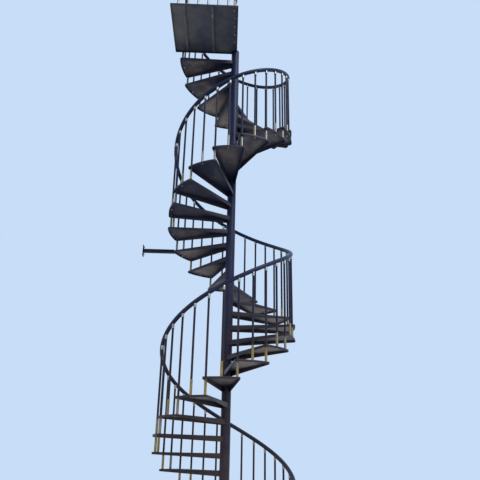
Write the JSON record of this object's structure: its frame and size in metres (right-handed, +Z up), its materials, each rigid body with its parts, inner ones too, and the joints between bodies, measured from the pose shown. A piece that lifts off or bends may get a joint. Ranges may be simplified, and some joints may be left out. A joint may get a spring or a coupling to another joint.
{
  "type": "spiral staircase",
  "caption": "Outdoor steel spiral staircase: pan treads on a central tube, balusters in brass sleeves, a helical tube handrail and a square landing tied to a wall.",
  "frame": {"origin": "middle of the base plate's underside, on the ground, on the column's axis", "axes": "+Z up the column; the flight climbs anticlockwise seen from above; the landing lies towards -X and -Y, with its edges along X and Y"},
  "size_m": [2.0529, 1.6798, 8.4341],
  "materials": {
    "tread_paint": "near-black enamel, worn and dusty",
    "baluster_paint": "near-black satin paint",
    "sleeve_brass": "dull weathered brass",
    "rail_paint": "near-black satin paint with a blue cast",
    "column_paint": "near-black satin paint, dusty in places",
    "landing_paint": "near-black enamel, worn and dusty",
    "tie_steel": "near-black satin paint"
  },
  "bodies": {
    "root": {"balusters_01_05": "baluster_paint", "balusters_06_10": "baluster_paint", "balusters_11_15": "baluster_paint", "balusters_16_20": "baluster_paint", "balusters_21_25": "baluster_paint", "balusters_26_30": "baluster_paint", "balusters_31_34": "baluster_paint", "balusters_35_38": "baluster_paint", "base_plate": "column_paint", "column": "column_paint", "handrail_01_05": "rail_paint", "handrail_06_10": "rail_paint", "handrail_11_15": "rail_paint", "handrail_16_20": "rail_paint", "handrail_21_25": "rail_paint", "handrail_26_30": "rail_paint", "handrail_31_34": "rail_paint", "handrail_35_38": "rail_paint", "landing_balusters": "baluster_paint", "landing_frame": "landing_paint", "landing_handrail": "rail_paint", "landing_plate": "landing_paint", "landing_sleeves": "sleeve_brass", "landing_stiffeners": "landing_paint", "sleeves_01_05": "sleeve_brass", "sleeves_06_10": "sleeve_brass", "sleeves_11_15": "sleeve_brass", "sleeves_16_20": "sleeve_brass", "sleeves_21_25": "sleeve_brass", "sleeves_26_30": "sleeve_brass", "sleeves_31_34": "sleeve_brass", "sleeves_35_38": "sleeve_brass", "treads_01_05": "tread_paint", "treads_06_10": "tread_paint", "treads_11_15": "tread_paint", "treads_16_20": "tread_paint", "treads_21_25": "tread_paint", "treads_26_30": "tread_paint", "treads_31_34": "tread_paint", "treads_35_38": "tread_paint", "wall_tie_bar": "tie_steel", "wall_tie_plate": "tie_steel"}
  },
  "joints": []
}
